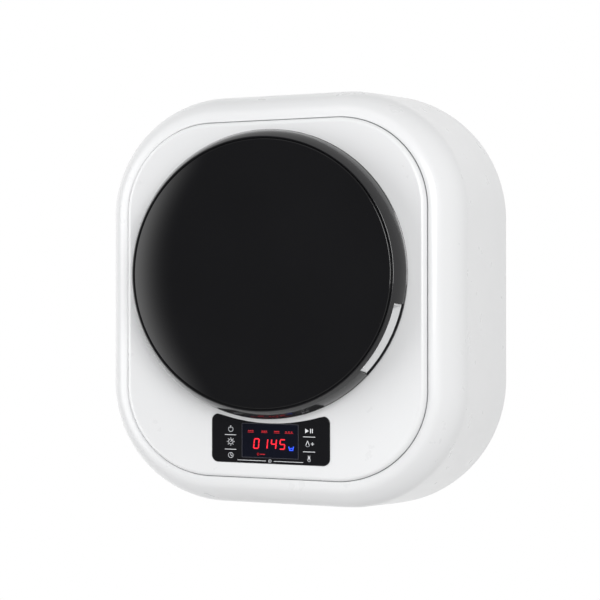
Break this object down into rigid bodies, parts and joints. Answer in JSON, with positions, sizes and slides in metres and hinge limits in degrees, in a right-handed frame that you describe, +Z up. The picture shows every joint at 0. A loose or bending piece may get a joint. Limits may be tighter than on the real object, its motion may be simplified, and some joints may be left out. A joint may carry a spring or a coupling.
{
  "type": "washing machine",
  "caption": "Compact wall-mounted front-loading washing machine with a rounded square body, a full-width round dark glass door and a touch panel below it.",
  "frame": {"origin": "centre of the four wall bolts, on the wall's face", "axes": "+Z up, +X to the right of a person facing the door, -Y out of the wall into the room"},
  "size_m": [0.543, 0.3022, 0.6],
  "materials": {
    "white_shell": "smooth white moulded plastic with a soft gloss",
    "black_gloss": "deep black high gloss",
    "tinted_glass": "black tinted glass, polished",
    "clear_glass": "clear moulded glass",
    "door_inner": "fine satin dark plastic",
    "grip_grey": "satin light grey",
    "panel_gloss": "polished black acrylic",
    "zinc_steel": "zinc-plated sheet",
    "black_rubber": "matt",
    "grey_rubber": "matt moulded rubber",
    "tub_plastic": "filled polypropylene, matt",
    "spring_steel": "bright drawn steel",
    "bearing_steel": "ground steel",
    "cast_weight": "rough cast",
    "lamination": "stacked laminations",
    "cast_aluminium": "cast, satin",
    "copper": "enamelled copper wire",
    "dark_plastic": "matt",
    "white_plastic": "matt",
    "board": "green solder mask",
    "stainless": "polished stainless sheet",
    "lifter_plastic": "light grey moulded plastic"
  },
  "bodies": {
    "cabinet": {"cabinet_shell": "white_shell", "front_panel": "white_shell", "back_plate": "zinc_steel", "wall_bushes": "black_rubber", "tub_rear": "tub_plastic", "tub_front": "tub_plastic", "tub_clips": "spring_steel", "tub_mounts": "black_rubber", "tub_gasket": "grey_rubber", "gasket_clamp": "spring_steel", "drum_bearings": "bearing_steel", "shaft_seal": "black_rubber", "heating_element": "spring_steel", "temperature_sensor": "spring_steel", "counterweight": "cast_weight", "motor_stator": "lamination", "motor_end_caps": "cast_aluminium", "motor_windings": "copper", "motor_bracket": "zinc_steel", "drive_belt": "black_rubber", "pump_motor": "dark_plastic", "pump_housing": "tub_plastic", "drain_hoses": "black_rubber", "fill_hose": "grey_rubber", "pressure_switch": "white_plastic", "inlet_valve": "white_plastic", "valve_coil": "dark_plastic", "drain_spigot": "dark_plastic", "cable_gland": "dark_plastic", "control_box": "white_plastic", "circuit_boards": "board", "display_module": "dark_plastic", "touch_springs": "spring_steel", "control_panel": "panel_gloss", "dispenser_tray": "white_shell", "dispenser_housing": "white_plastic", "hinge_bracket": "cast_aluminium", "hinge_pin": "bearing_steel", "door_lock": "dark_plastic"},
    "door": {"door_rim": "black_gloss", "door_frame": "door_inner", "door_glass": "tinted_glass", "door_bowl": "clear_glass", "door_grip": "grip_grey", "hinge_arm": "cast_aluminium", "door_strike": "cast_aluminium", "door_screws": "spring_steel"},
    "lock_bolt": {"lock_slider": "white_plastic"},
    "drum": {"drum_shell": "stainless", "drum_back": "stainless", "drum_front": "stainless", "drum_lifters": "lifter_plastic", "drum_spider": "cast_aluminium", "drum_shaft": "bearing_steel", "drum_pulley": "cast_aluminium"},
    "motor": {"motor_rotor": "lamination", "motor_shaft": "bearing_steel", "motor_pulley": "cast_aluminium"},
    "pump": {"pump_impeller": "dark_plastic"},
    "valve": {"valve_plunger": "bearing_steel"}
  },
  "joints": [
    {"name": "door_hinge", "type": "hinge", "parent": "cabinet", "child": "door", "pos_m": [-0.1775, -0.26493, 0.0317], "axis": [0, 0, -1], "range_deg": [0, 105]},
    {"name": "lock_slide", "type": "slide", "parent": "cabinet", "child": "lock_bolt", "axis": [-1, 0, 0], "range_m": [0, 0.008]},
    {"name": "drum_spin", "type": "hinge", "parent": "cabinet", "child": "drum", "pos_m": [0, -0.14, 0.0317], "axis": [0, -1, 0], "continuous": true},
    {"name": "motor_spin", "type": "hinge", "parent": "cabinet", "child": "motor", "pos_m": [0.062, -0.06, -0.225], "axis": [0, -1, 0], "continuous": true},
    {"name": "pump_spin", "type": "hinge", "parent": "cabinet", "child": "pump", "pos_m": [-0.095, -0.11, -0.225], "axis": [0, -1, 0], "continuous": true},
    {"name": "valve_stroke", "type": "slide", "parent": "cabinet", "child": "valve", "axis": [0, 0, 1], "range_m": [0, 0.003], "stiffness_N_per_m": 60}
  ],
  "couplings": [
    {"joint": "motor_spin", "follows": "drum_spin", "ratio": 10}
  ]
}
